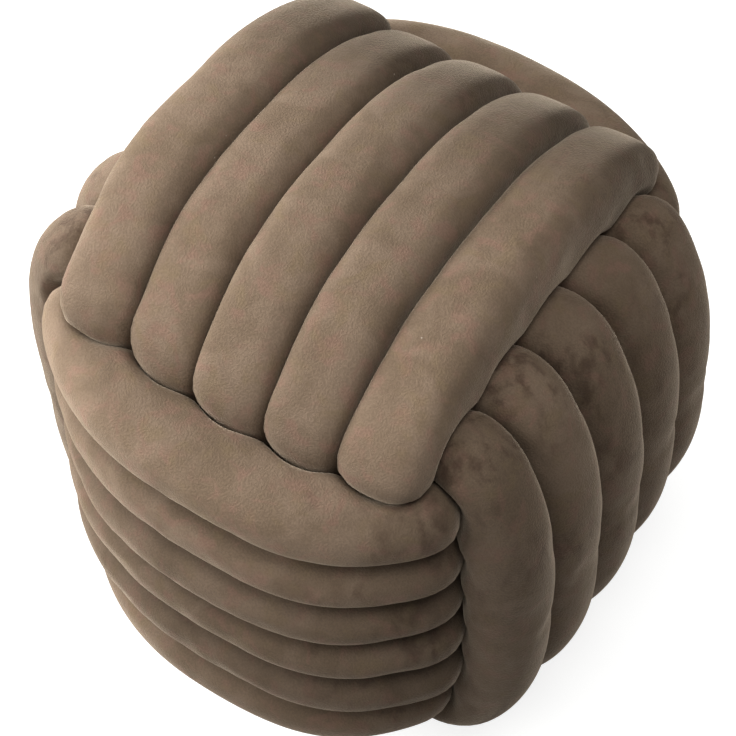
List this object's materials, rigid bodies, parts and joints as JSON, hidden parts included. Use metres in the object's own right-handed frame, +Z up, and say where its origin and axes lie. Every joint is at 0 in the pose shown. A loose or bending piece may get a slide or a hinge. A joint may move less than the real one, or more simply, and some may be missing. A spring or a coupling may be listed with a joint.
{
  "type": "knotted ball pouf",
  "caption": "Round pouf knotted from one thick stuffed velvet tube, wound in three crossing groups of turns, pressed flat underneath where it rests.",
  "frame": {"origin": "middle of the underside, on the surface that the pouf rests on", "axes": "+Z up, +Y to the back along the turns that cross the top, +X to the side with the upright turns; the front (-Y) has the level turns"},
  "size_m": [0.428, 0.4714, 0.4458],
  "materials": {
    "velvet": "short brushed pile, taupe brown"
  },
  "bodies": {
    "root": {"knotted_ball": "velvet"}
  },
  "joints": []
}
